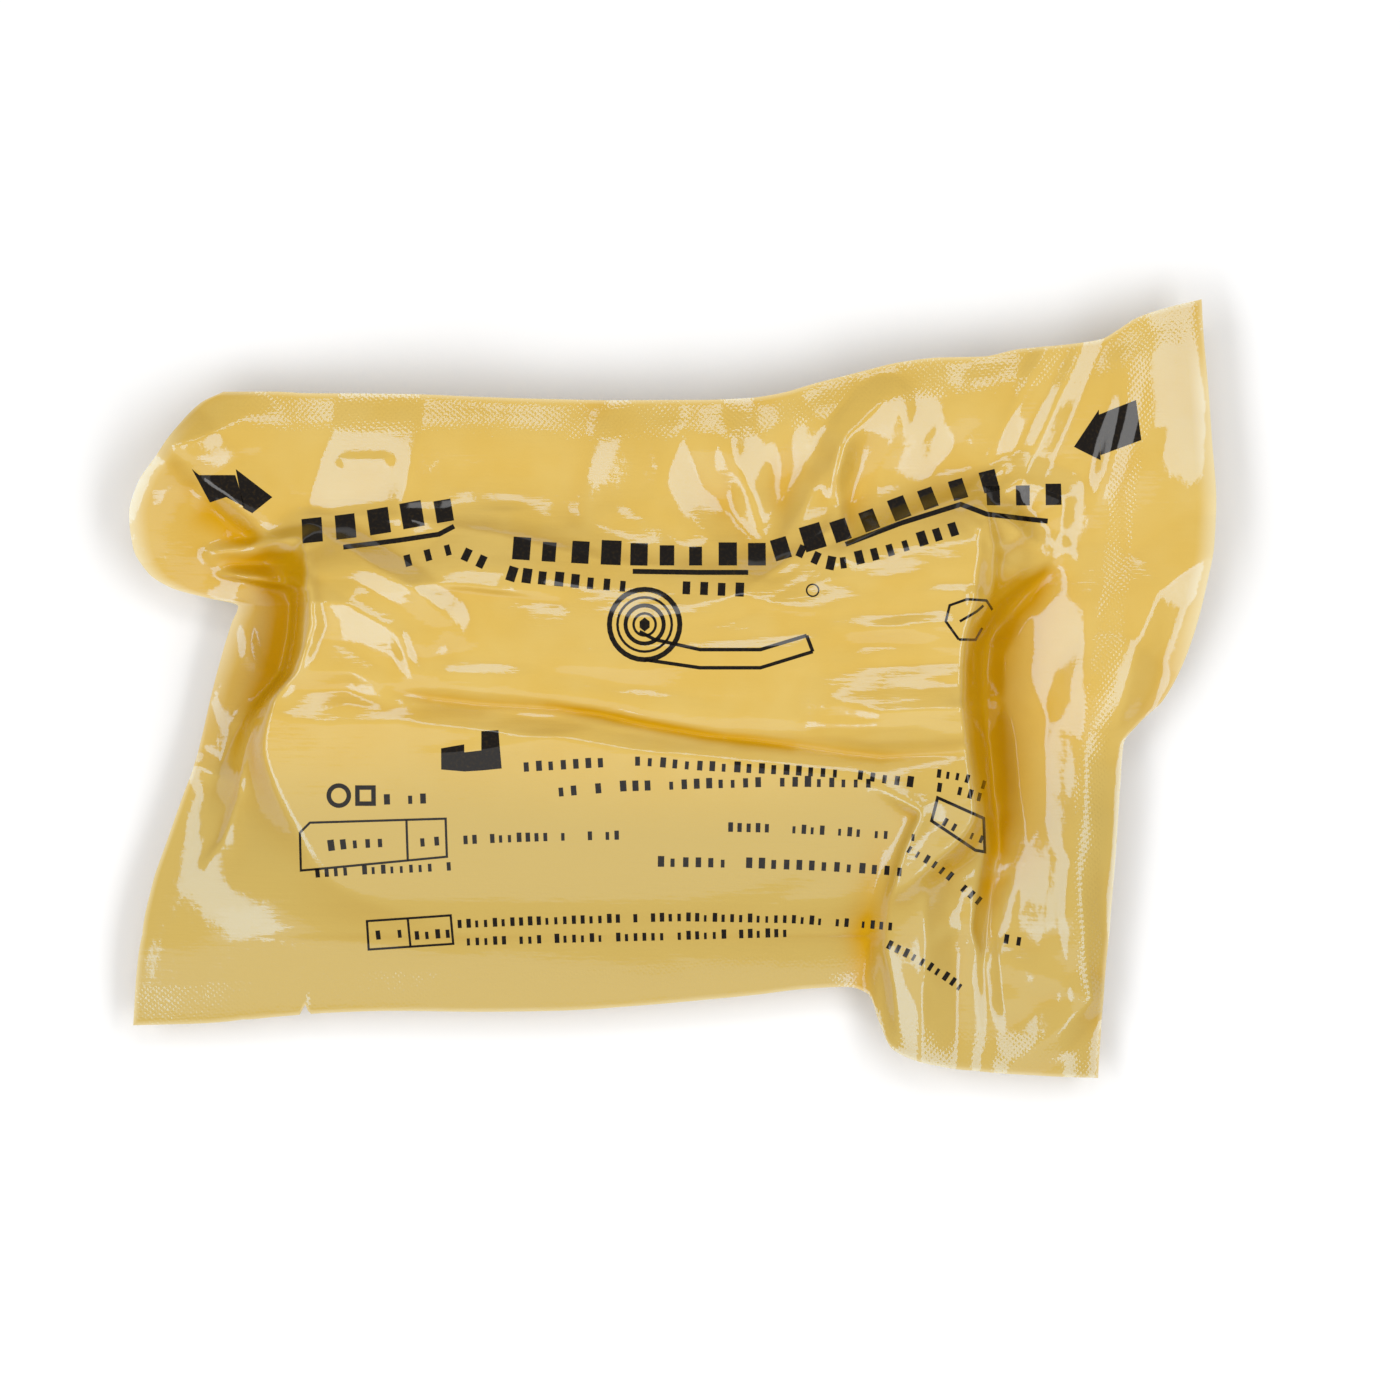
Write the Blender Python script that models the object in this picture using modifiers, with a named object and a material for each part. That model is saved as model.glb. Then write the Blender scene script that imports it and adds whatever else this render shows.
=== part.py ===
"""Vacuum-packed trauma bandage: a flat-wound elastic roll between two webs of film.

Metres, +Z up, lying printed side up, standing on the table at the middle of its outline.
Film stations: a runs 0-1 over the left flange, 1-2 over the roll, 2-3 over the right flange;
b runs 0-1 over the foot flange, 1-2 over the roll, 2-3 over the head flange.
"""
import bpy
import bmesh
import numpy as np
from mathutils import Vector

# driving sizes, in metres
ROLL_LENGTH = 0.149
ROLL_WIDTH = 0.087
ROLL_THICKNESS = 0.026
LEFT_FLANGE = 0.0224
RIGHT_FLANGE = 0.0464
HEAD_FLANGE = 0.0404
FOOT_FLANGE = 0.0290
SEAL_HEIGHT = 0.012
FILM_WALL = 0.0008
GAP = 0.0003
FOLD_WIDTH = 0.0045

# outlines: station along the side, reach as a share of that side's flange
LEFT_REACH = ((0, 0.98), (0.57, 0.945), (1, 0.89), (1.13, 0.80), (1.24, 0.67), (1.35, 0.535), (1.44, 0.42),
              (1.51, 0.357), (1.6, 0.286), (1.7, 0.196), (1.8, 0.09), (1.845, 0.03), (1.865, 0.31),
              (1.89, 0.625), (1.93, 0.84), (2, 0.973), (2.2, 1), (2.4, 0.92), (2.57, 0.76), (2.78, 0.55),
              (2.93, 0.357), (3, 0.16))
RIGHT_REACH = ((0, 0.496), (0.22, 0.504), (0.61, 0.52), (1, 0.543), (1.15, 0.565), (1.35, 0.59),
               (1.44, 0.603), (1.485, 0.668), (1.54, 0.776), (1.625, 0.862), (1.73, 0.927), (1.81, 0.961),
               (1.9, 0.991), (2, 1), (2.29, 0.983), (2.52, 0.97), (2.81, 0.948), (3, 0.94))
HEAD_REACH = ((0, 0.54), (0.58, 0.54), (1.04, 0.53), (1.14, 0.525), (1.26, 0.51), (1.375, 0.5),
              (1.49, 0.495), (1.58, 0.495), (1.65, 0.505), (1.7, 0.53), (1.757, 0.584), (1.816, 0.634),
              (1.875, 0.683), (1.934, 0.708), (2, 0.713), (2.16, 0.75), (2.34, 0.767), (2.53, 0.797),
              (2.62, 0.851), (2.69, 0.9), (2.85, 0.96), (3, 1))
FOOT_REACH = ((0, 0.634), (0.61, 0.62), (1, 0.593), (1.05, 0.572), (1.12, 0.545), (1.21, 0.531),
              (1.32, 0.538), (1.43, 0.531), (1.54, 0.497), (1.62, 0.462), (1.705, 0.42), (1.774, 0.379),
              (1.83, 0.366), (1.86, 0.42), (1.873, 0.6), (1.89, 0.786), (1.91, 0.848), (1.945, 0.903),
              (2, 0.945), (2.52, 0.98), (3, 1))

# roll edges: station, shift inward as a share of the roll's length (ends) or width (head)
LEFT_SHIFT = ((0, 0), (1.3, 0), (1.45, 0.008), (1.6, 0.035), (1.68, 0.068), (1.75, 0.077), (2, 0.083), (3, 0.083))
RIGHT_SHIFT = ((0, 0.017), (1, 0.017), (1.15, 0.004), (1.25, 0), (1.35, 0.007), (1.45, 0.014), (1.55, 0.022),
               (1.65, 0.02), (1.75, 0.008), (1.9, 0), (3, 0))
HEAD_SHIFT = ((0, 0.103), (1, 0.103), (1.15, 0.11), (1.25, 0.075), (1.35, 0.1), (1.45, 0.14), (1.55, 0.165),
              (1.65, 0.172), (1.72, 0.14), (1.8, 0.085), (1.9, 0.02), (2, 0), (3, 0))

# heights: station, share of the roll's thickness over the roll, share of the seal height over the flanges
CROWN = ((0, 0.45), (1, 0.64), (1.15, 0.8), (1.35, 0.94), (1.5, 0.985), (1.7, 1), (1.85, 0.97),
         (1.95, 0.9), (2.1, 0.84), (3, 0.84))
ACROSS = ((0, 0.6), (0.5, 0.8), (1, 0.9), (1.5, 0.95), (2, 0.88), (2.12, 0.68), (2.3, 0.82), (2.6, 1.1),
          (2.8, 0.95), (3, 0.5))
ALONG = ((0, 0.75), (0.5, 0.9), (1, 1), (1.8, 1), (2.05, 1.1), (2.4, 1.3), (2.75, 1.35), (3, 1.15))

# feet and tops of the walls round the roll: station along the side, station across it
LEFT_FOOT = ((0, 0.2), (1.3, 0.2), (1.5, 0.6), (1.65, 0.85), (1.9, 0.85), (2.05, 0.6), (3, 0.6))
LEFT_TOP = ((0, 1.12), (1.3, 1.08), (1.5, 1.02), (1.65, 1.01), (3, 1.01))
RIGHT_FOOT = ((0, 2.3), (0.9, 2.12), (1.1, 2.09), (1.75, 2.1), (1.9, 2.2), (2.05, 2.4), (3, 2.4))
RIGHT_TOP = 1.988
HEAD_FOOT = ((0, 2.2), (1, 2.25), (1.2, 2.5), (1.7, 2.5), (1.85, 2.35), (2, 2.25), (3, 2.2))
HEAD_TOP = 1.9
FOOT_WALL = (0.2, 1.1)

# bed under the roll: station where the back web leaves the flange, station where it lies on the table
LEFT_BED = (0.8, 1.0)
RIGHT_BED = (2.14, 2.0)
HEAD_BED = (2.35, 2.01)
FOOT_BED = (0.6, 1.0)

# main folds: shape, width as a share of FOLD_WIDTH, height as a share of ROLL_THICKNESS, line of stations
FOLDS = (
    # the two long folds across the face
    ("pinch", 0.9, 0.085, ((1, 1.55), (1.2, 1.55), (1.4, 1.5), (1.65, 1.5), (1.85, 1.4), (1.95, 1.3))),
    ("pinch", 0.9, -0.09, ((1.05, 1.65), (1.3, 1.6), (1.5, 1.55), (1.7, 1.5), (1.85, 1.45), (1.95, 1.45))),
    # head shoulder, the gather at the middle of the head and the fold to the corner
    ("roof", 1.6, 0.06, ((1.05, 1.95), (1.15, 1.9), (1.2, 1.8))),
    ("roof", 2, -0.10, ((1.7, 2.15), (1.6, 2.9))),
    ("pinch", 1.4, 0.15, ((1.7, 2.1), (1.8, 2.6), (1.85, 2.75))),
    ("roof", 1.6, 0.10, ((1.7, 2), (1.8, 2.05), (1.9, 2.1), (2, 2.2))),
    # corner of the roll at the upper right, and the right flange
    ("roof", 1.5, 0.22, ((2, 1.95), (2.3, 1.85))),
    ("roof", 1.5, 0.14, ((2, 2), (2.25, 2.2), (2.45, 2.4))),
    ("round", 1.4, -0.10, ((2.4, 1.8), (2.15, 1.7), (2.1, 1.5), (2.1, 1.25))),
    ("round", 1, 0.09, ((2.65, 2.55), (2.6, 2.1), (2.6, 1.75), (2.65, 1.55), (2.8, 1.3), (2.8, 1.1))),
    # the tongue at the lower right and the star beside it
    ("pinch", 0.9, 0.10, ((1.95, 1.3), (1.9, 1.15), (1.9, 0.95), (1.9, 0.6))),
    ("pinch", 0.9, 0.08, ((2, 1.25), (2, 1), (2.05, 0.9))),
    ("roof", 1.4, 0.05, ((2.9, 0.55), (2.1, 0.9))),
    ("roof", 1.4, 0.05, ((2.9, 0.55), (2.75, 1.15))),
    ("roof", 1.8, 0.06, ((2.9, 0.55), (2.2, 0.1))),
    # the lobe at the upper left
    ("roof", 1.6, -0.10, ((0.1, 2.6), (0.6, 2.3), (0.85, 2.1), (1, 2.05))),
    ("roof", 1.2, 0.10, ((0.3, 2), (0.7, 2), (0.95, 2.05))),
)

# stations of the shared grid
COLUMNS = np.concatenate(([0, 0.25, 0.5, 0.7, 0.85, 0.93, 1.0, 1.012], np.linspace(1.04, 1.96, 28),
                          [1.988, 2.0, 2.045, 2.09, 2.18, 2.3, 2.43, 2.57, 2.7, 2.85, 3]))
ROWS = np.concatenate(([0, 0.25, 0.5, 0.7, 0.86, 1.0], np.linspace(1.06, 1.92, 18),
                       [1.962, 2.005, 2.05, 2.15, 2.3, 2.45, 2.6, 2.75, 2.88, 3]))


def look(table, station):
    """Value of a two-column table at a station, on a smooth curve that never overshoots."""
    x, y = np.array(table, float).T
    slope = np.diff(y) / np.diff(x)
    both = slope[1:] * slope[:-1]
    inner = np.divide(2 * both, slope[1:] + slope[:-1], out=np.zeros(len(both)), where=both > 0)
    lean = np.concatenate(([slope[0]], inner, [slope[-1]]))
    station = np.clip(station, x[0], x[-1])
    i = np.clip(np.searchsorted(x, station, side='right') - 1, 0, len(x) - 2)
    step = x[i + 1] - x[i]
    t = (station - x[i]) / step
    return (y[i] * (1 - t) ** 2 * (1 + 2 * t) + y[i + 1] * t * t * (3 - 2 * t)
            + step * t * (1 - t) * (lean[i] * (1 - t) - lean[i + 1] * t))


def ramp(station, start, end):
    """Smooth 0 to 1 between two stations."""
    t = np.clip((station - start) / (end - start), 0, 1)
    return t * t * (3 - 2 * t)


def along(station, *ends):
    """Length along four ends, straight between them."""
    return np.where(station < 1, ends[0] + (ends[1] - ends[0]) * station,
                    np.where(station < 2, ends[1] + (ends[2] - ends[1]) * (station - 1),
                             ends[2] + (ends[3] - ends[2]) * (station - 2)))


def plan(a, b):
    """Place of a film station on the table, from the roll's lower left corner."""
    a = np.asarray(a, float)
    b = np.asarray(b, float)
    x = along(a, -LEFT_FLANGE * look(LEFT_REACH, b), ROLL_LENGTH * look(LEFT_SHIFT, b),
              ROLL_LENGTH * (1 - look(RIGHT_SHIFT, b)), ROLL_LENGTH + RIGHT_FLANGE * look(RIGHT_REACH, b))
    y = along(b, -FOOT_FLANGE * look(FOOT_REACH, a), 0 * a, ROLL_WIDTH * (1 - look(HEAD_SHIFT, a)),
              ROLL_WIDTH + HEAD_FLANGE * look(HEAD_REACH, a))
    return x, y


def away(x, y, line):
    """Distance from a line of stations."""
    px, py = plan([p[0] for p in line], [p[1] for p in line])
    best = np.full(np.shape(x), 1.0)
    for i in range(len(px) - 1):
        dx = px[i + 1] - px[i]
        dy = py[i + 1] - py[i]
        t = np.clip(((x - px[i]) * dx + (y - py[i]) * dy) / (dx * dx + dy * dy), 0, 1)
        best = np.minimum(best, np.hypot(x - px[i] - t * dx, y - py[i] - t * dy))
    return best


def fold(shape, distance):
    """Cross-section of a fold at a distance given in fold widths."""
    if shape == "pinch":
        return np.exp(-distance)
    if shape == "roof":
        return np.clip(1 - distance / 2, 0, 1)
    return np.exp(-distance * distance)


def wall(a, b):
    """0 on the flanges, 1 over the roll."""
    return (ramp(a, look(LEFT_FOOT, b), look(LEFT_TOP, b)) * ramp(a, look(RIGHT_FOOT, b), RIGHT_TOP)
            * ramp(b, *FOOT_WALL) * ramp(b, look(HEAD_FOOT, a), HEAD_TOP))


def front_height(a, b):
    """Height of the front web's outer face."""
    x, y = plan(a, b)
    flange = SEAL_HEIGHT * look(ACROSS, a) * look(ALONG, b)
    height = flange + (ROLL_THICKNESS * look(CROWN, b) - flange) * wall(a, b)
    for shape, width, rise, line in FOLDS:
        height = height + rise * ROLL_THICKNESS * fold(shape, away(x, y, line) / (width * FOLD_WIDTH))
    return np.clip(height, 3 * FILM_WALL + GAP, ROLL_THICKNESS * 1.06)


def upward(x, y, z):
    """Upward share of the surface's normal at each grid point."""
    place = np.stack((x, y, z), axis=-1)
    normal = np.cross(np.gradient(place, axis=1), np.gradient(place, axis=0))
    return np.abs(normal[..., 2]) / np.linalg.norm(normal, axis=-1)


def back_height(a, b):
    """Height of the back web's inner face: under the front web on the flanges, on the table under the roll."""
    bed = ramp(a, *LEFT_BED) * ramp(a, *RIGHT_BED) * ramp(b, *FOOT_BED) * ramp(b, *HEAD_BED)
    x, y = plan(a, b)
    front = front_height(a, b)
    drop = (FILM_WALL + 1.8 * GAP) / np.clip(upward(x, y, front), 0.35, 1)
    under = np.maximum(front - drop, FILM_WALL)
    return FILM_WALL + (under - FILM_WALL) * (1 - bed)


def sheet(name, height):
    """Grid of quads over the film's stations at a height."""
    rows = len(ROWS)
    columns = len(COLUMNS)
    bm = bmesh.new()
    bmesh.ops.create_grid(bm, x_segments=columns - 1, y_segments=rows - 1, size=1)
    bm.verts.sort(key=lambda v: round(v.co.y * 1000) * 10 + v.co.x)
    a, b = np.meshgrid(COLUMNS, ROWS)
    x, y = plan(a, b)
    z = height(a, b)
    for vert, place in zip(bm.verts, zip(x.ravel(), y.ravel(), z.ravel())):
        vert.co = place
    bmesh.ops.recalc_face_normals(bm, faces=bm.faces)
    if sum(f.normal.z for f in bm.faces) < 0:
        bmesh.ops.reverse_faces(bm, faces=bm.faces)
    mesh = bpy.data.meshes.new(name)
    bm.to_mesh(mesh)
    bm.free()
    piece = bpy.data.objects.new(name, mesh)
    bpy.context.collection.objects.link(piece)
    return piece


def thicken(piece, offset):
    """Give a web its wall."""
    mod = piece.modifiers.new("wall", 'SOLIDIFY')
    mod.thickness = FILM_WALL
    mod.offset = offset
    mod.use_even_offset = False


def inside(piece):
    """Roll body: the front web's face over the roll, set in by wall and gap, closed down to its bed."""
    mesh = piece.data
    bm = bmesh.new()
    bm.from_mesh(mesh)
    bm.normal_update()
    a, b = np.meshgrid(COLUMNS, ROWS)
    over = ((a > 1.005) & (a < 1.995) & (b > 1.03) & (b < 1.98)).ravel()
    for v in bm.verts:
        v.co -= v.normal * (FILM_WALL + 1.6 * GAP)
    outer = [v for v, kept in zip(bm.verts, over) if not kept]
    bmesh.ops.delete(bm, geom=outer, context='VERTS')
    rim = [e for e in bm.edges if e.is_boundary]
    ring = bmesh.ops.extrude_edge_only(bm, edges=rim)["geom"]
    lower = [g for g in ring if isinstance(g, bmesh.types.BMVert)]
    middle = Vector((ROLL_LENGTH / 2, ROLL_WIDTH / 2, 0))
    for v in lower:
        inward = Vector((middle.x - v.co.x, middle.y - v.co.y, 0)) / ROLL_LENGTH
        v.co += inward * 4 * FILM_WALL
        v.co.z = FILM_WALL + 1.5 * GAP
    rim = [g for g in ring if isinstance(g, bmesh.types.BMEdge) and g.is_boundary]
    bmesh.ops.contextual_create(bm, geom=rim)
    bmesh.ops.recalc_face_normals(bm, faces=bm.faces)
    body = bpy.data.meshes.new("bandage_roll")
    bm.to_mesh(body)
    bm.free()
    roll = bpy.data.objects.new("bandage_roll", body)
    bpy.context.collection.objects.link(roll)
    return roll


def finish(piece):
    """Apply the modifiers and merge faces that lie in one plane."""
    graph = bpy.context.evaluated_depsgraph_get()
    done = bpy.data.meshes.new_from_object(piece.evaluated_get(graph))
    bm = bmesh.new()
    bm.from_mesh(done)
    bmesh.ops.dissolve_limit(bm, angle_limit=0.0005, verts=bm.verts, edges=bm.edges)
    bmesh.ops.recalc_face_normals(bm, faces=bm.faces)
    bm.to_mesh(done)
    bm.free()
    piece.modifiers.clear()
    piece.data = done


def paint(piece, name, colour, rough):
    """One material of its own for a piece."""
    mat = bpy.data.materials.new(name)
    mat.use_nodes = True
    shader = mat.node_tree.nodes["Principled BSDF"]
    shader.inputs["Base Color"].default_value = (*colour, 1)
    shader.inputs["Roughness"].default_value = rough
    piece.data.materials.clear()
    piece.data.materials.append(mat)


def centre(pieces):
    """Stand the middle of the outline on the origin."""
    points = np.array([v.co for p in pieces for v in p.data.vertices])
    low = points.min(axis=0)
    high = points.max(axis=0)
    shift = Vector((-(low[0] + high[0]) / 2, -(low[1] + high[1]) / 2, -low[2]))
    for p in pieces:
        for v in p.data.vertices:
            v.co += shift


for old in list(bpy.data.objects):
    bpy.data.objects.remove(old)

front = sheet("front_film", front_height)
back = sheet("back_film", back_height)
roll = inside(front)
thicken(front, -1)
thicken(back, -1)
pieces = (front, back, roll)
for piece in pieces:
    finish(piece)
centre(pieces)
paint(front, "gold_film_printed", (0.75, 0.48, 0.10), 0.2)
paint(back, "gold_film_plain", (0.72, 0.46, 0.10), 0.25)
paint(roll, "elastic_bandage", (0.85, 0.80, 0.68), 0.9)
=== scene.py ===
"""Vacuum-packed trauma bandage on a pale table, seen from straight above.

Two webs of glossy gold film, the wound bandage between them and the dark printing on the upper web.
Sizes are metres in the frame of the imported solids, with +Z up. Readings marked mm are millimetres from
the middle of the pouch, x to the wide flange and y to the head.
"""
import math
import bpy
import numpy as np
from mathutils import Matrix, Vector


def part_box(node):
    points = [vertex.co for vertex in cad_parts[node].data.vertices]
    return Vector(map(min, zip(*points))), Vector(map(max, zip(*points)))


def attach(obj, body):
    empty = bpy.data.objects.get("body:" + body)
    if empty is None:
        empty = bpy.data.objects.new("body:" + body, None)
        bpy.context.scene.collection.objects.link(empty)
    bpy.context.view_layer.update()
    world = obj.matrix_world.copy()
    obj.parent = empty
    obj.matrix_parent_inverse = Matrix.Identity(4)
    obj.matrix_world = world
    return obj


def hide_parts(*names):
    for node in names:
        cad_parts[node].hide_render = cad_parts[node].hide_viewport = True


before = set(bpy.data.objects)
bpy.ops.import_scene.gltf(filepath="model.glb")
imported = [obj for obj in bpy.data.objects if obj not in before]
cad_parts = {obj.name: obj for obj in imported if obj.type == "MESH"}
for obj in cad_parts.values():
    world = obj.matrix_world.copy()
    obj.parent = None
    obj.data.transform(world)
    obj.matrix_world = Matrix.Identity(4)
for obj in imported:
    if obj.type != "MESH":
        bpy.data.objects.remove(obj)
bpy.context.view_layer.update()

MM = 0.001
SEED = 7

# sizes of the pouch, the same as those of the solids
ROLL_LENGTH = 0.149
ROLL_WIDTH = 0.087
ROLL_THICKNESS = 0.026
LEFT_FLANGE = 0.0224
RIGHT_FLANGE = 0.0464
HEAD_FLANGE = 0.0404
FOOT_FLANGE = 0.0290
SEAL_HEIGHT = 0.012
LOW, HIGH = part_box("front_film")
CORNER = (LOW[0] + LEFT_FLANGE, LOW[1] + FOOT_FLANGE)

# film colours: over the flanges, where it clings to the white wrap; painted shade for the folds and steep walls; a
# painted glow at its thin rim, for light from the white table through the film and off its curled edge
GOLD = "#D8B354"
PALE = "#DBBB66"
PAINTED_SHADE_AMBER = "#C8960A"
PAINTED_GLOW_CREAM = "#EADBB0"
# painted shade and painted haze of reflected light, duller, over the lower half
PAINTED_HAZE_TONE = "#C9AB58"
# surface of the film: roughness, strength of its glare and the glare's cool tint against the gold
GLOSS = 0.09
SHEEN = 0.85
GLARE = "#92CEFF"

FILM_WALL = 0.12 * MM
WEB_GAP = 0.35 * MM
INK_LIFT = 0.03 * MM

# outlines: station along the side, reach as a share of that side's flange
LEFT_REACH = ((0, 0.98), (0.57, 0.945), (1, 0.89), (1.13, 0.80), (1.24, 0.67), (1.35, 0.535), (1.44, 0.42),
              (1.51, 0.357), (1.6, 0.286), (1.7, 0.196), (1.8, 0.09), (1.845, 0.03), (1.865, 0.31),
              (1.89, 0.625), (1.93, 0.84), (2, 0.973), (2.2, 1), (2.4, 0.92), (2.57, 0.76), (2.78, 0.55),
              (2.93, 0.357), (3, 0.16))
RIGHT_REACH = ((0, 0.496), (0.22, 0.504), (0.61, 0.52), (1, 0.543), (1.15, 0.565), (1.35, 0.59),
               (1.44, 0.603), (1.485, 0.668), (1.54, 0.776), (1.625, 0.862), (1.73, 0.927), (1.81, 0.961),
               (1.9, 0.991), (2, 1), (2.29, 0.983), (2.52, 0.97), (2.81, 0.948), (3, 0.94))
HEAD_REACH = ((0, 0.54), (0.58, 0.54), (1.04, 0.53), (1.14, 0.525), (1.26, 0.51), (1.375, 0.5),
              (1.49, 0.495), (1.58, 0.495), (1.65, 0.505), (1.7, 0.53), (1.757, 0.584), (1.816, 0.634),
              (1.875, 0.683), (1.934, 0.708), (2, 0.713), (2.16, 0.75), (2.34, 0.767), (2.53, 0.797),
              (2.62, 0.851), (2.69, 0.9), (2.85, 0.96), (3, 1))
FOOT_REACH = ((0, 0.634), (0.61, 0.62), (1, 0.593), (1.05, 0.572), (1.12, 0.545), (1.21, 0.531),
              (1.32, 0.538), (1.43, 0.531), (1.54, 0.497), (1.62, 0.462), (1.705, 0.42), (1.774, 0.379),
              (1.83, 0.366), (1.86, 0.42), (1.873, 0.6), (1.89, 0.786), (1.91, 0.848), (1.945, 0.903),
              (2, 0.945), (2.52, 0.98), (3, 1))

# edges of the roll: station, shift inward as a share of the roll's length or width
LEFT_SHIFT = ((0, 0), (1.3, 0), (1.45, 0.008), (1.6, 0.035), (1.68, 0.068), (1.75, 0.077), (2, 0.083), (3, 0.083))
RIGHT_SHIFT = ((0, 0.017), (1, 0.017), (1.15, 0.004), (1.25, 0), (1.35, 0.007), (1.45, 0.014), (1.55, 0.022),
               (1.65, 0.02), (1.75, 0.008), (1.9, 0), (3, 0))
HEAD_SHIFT = ((0, 0.103), (1, 0.103), (1.15, 0.11), (1.25, 0.075), (1.35, 0.1), (1.45, 0.14), (1.55, 0.165),
              (1.65, 0.172), (1.72, 0.14), (1.8, 0.085), (1.9, 0.02), (2, 0), (3, 0))

# heights: station, share of the roll's thickness over the roll, of the seal height over the flanges
CROWN = ((0, 0.45), (1, 0.64), (1.15, 0.8), (1.35, 0.94), (1.5, 0.985), (1.7, 1), (1.85, 0.97),
         (1.95, 0.9), (2.1, 0.84), (3, 0.84))
ACROSS = ((0, 0.75), (0.5, 0.84), (1, 0.9), (1.5, 0.95), (2, 0.9), (2.12, 0.78), (2.3, 0.84), (2.7, 0.95),
          (3, 0.66))
ALONG = ((0, 0.75), (0.5, 0.9), (1, 1), (1.8, 1), (2.05, 1.1), (2.4, 1.3), (2.75, 1.35), (3, 1.15))

# feet and tops of the walls round the roll: station along the side, station across it
LEFT_FOOT = ((0, 0.2), (1.3, 0.2), (1.5, 0.6), (1.65, 0.85), (1.9, 0.85), (2.05, 0.6), (3, 0.6))
LEFT_TOP = ((0, 1.5), (0.9, 1.4), (1.15, 1.12), (1.3, 1.07), (1.5, 1.02), (1.65, 1.01), (3, 1.01))
RIGHT_FOOT = ((0, 2.3), (0.9, 2.12), (1.1, 2.09), (1.68, 2.1), (1.78, 2.24), (1.88, 2.38), (2, 2.45), (3, 2.45))
RIGHT_TOP = 1.988
HEAD_FOOT = ((0, 2.2), (1, 2.25), (1.2, 2.5), (1.7, 2.5), (1.85, 2.35), (2, 2.25), (3, 2.2))
HEAD_TOP = 1.9
FOOT_WALL = (0.2, 1.1)
# how far the film hangs in at the roll's two ends: 1 is a straight slope
WALL_SAG = 1.7

# bed under the roll: station where the lower web leaves the flange, station where it lies on the table
LEFT_BED = (0.8, 1.0)
RIGHT_BED = (2.14, 2.0)
HEAD_BED = (2.35, 2.01)
FOOT_BED = (0.6, 1.0)

# cells of the film: first station, last station, number of cells
ACROSS_CELLS = ((0, 1, 36), (1, 1.3, 76), (1.3, 1.84, 98), (1.84, 2, 48), (2, 2.5, 48), (2.5, 3, 36))
ALONG_CELLS = ((0, 1, 36), (1, 1.4, 48), (1.4, 2, 130), (2, 3, 72))

# readings of the photograph are its pixels: the one over the middle of the pouch, and mm for one pixel
PHOTO_MIDDLE = (672.5, 689.0)
PHOTO_PIXEL = 0.2

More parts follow.
